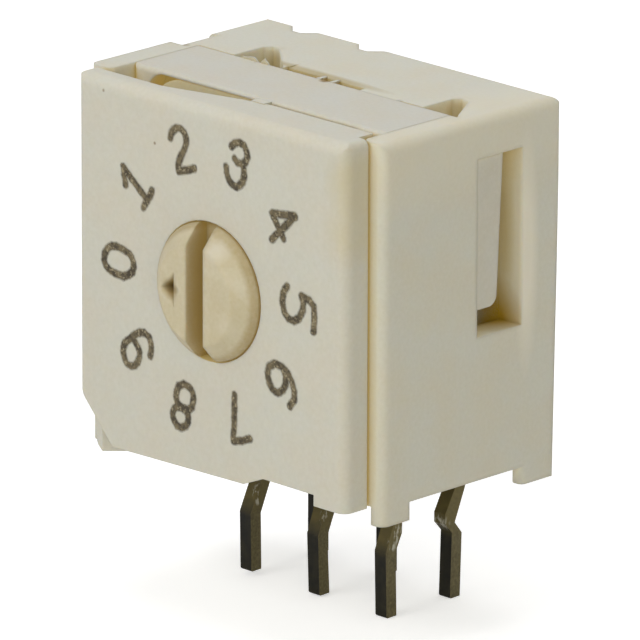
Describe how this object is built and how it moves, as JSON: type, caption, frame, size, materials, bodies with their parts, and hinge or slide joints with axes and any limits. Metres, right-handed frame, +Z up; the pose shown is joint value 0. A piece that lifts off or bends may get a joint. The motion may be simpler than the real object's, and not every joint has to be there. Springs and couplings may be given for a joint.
{
  "type": "rotary dip switch",
  "caption": "Right-angle rotary DIP switch with a screwdriver-slot rotor, numbered square dial and through-hole terminals",
  "frame": {"origin": "centre of the terminal pattern on the circuit board's surface", "axes": "X across the dial to the viewer's right, Y from the dial to the rear wall, Z up from the board"},
  "size_m": [0.011, 0.0082, 0.0144],
  "materials": {
    "cover_plastic": "cream moulded thermoplastic, matt with a faint sheen",
    "housing_plastic": "cream moulded thermoplastic, slightly translucent at thin edges",
    "block_plastic": "greyish cream moulded thermoplastic, matt",
    "rotor_plastic": "beige moulded plastic with a soft gloss",
    "frame_plastic": "beige moulded plastic, matt",
    "seal_rubber": "black sealing rubber",
    "code_metal": "gold-plated contact sheet",
    "spring_metal": "phosphor bronze strip",
    "terminal_metal": "dull tin plating, darkened",
    "digit_ink": "dark brown printing ink, matt"
  },
  "bodies": {
    "switch": {"front_cover": "cover_plastic", "outer_housing": "housing_plastic", "contact_block": "block_plastic", "detent_frame": "frame_plastic", "shaft_seal": "seal_rubber", "detent_spring_top": "spring_metal", "detent_spring_bottom": "spring_metal", "contact_spring_common": "spring_metal", "contact_spring_1": "spring_metal", "contact_spring_2": "spring_metal", "contact_spring_4": "spring_metal", "contact_spring_8": "spring_metal", "terminal_common_front": "terminal_metal", "terminal_1": "terminal_metal", "terminal_2": "terminal_metal", "terminal_4": "terminal_metal", "terminal_8": "terminal_metal", "terminal_common_rear": "terminal_metal"},
    "dial": {"rotor": "rotor_plastic", "code_plate": "code_metal"}
  },
  "joints": [
    {"name": "dial_turn", "type": "hinge", "parent": "switch", "child": "dial", "pos_m": [0, -0.00439, 0.00555], "axis": [0, 1, 0], "continuous": true}
  ]
}
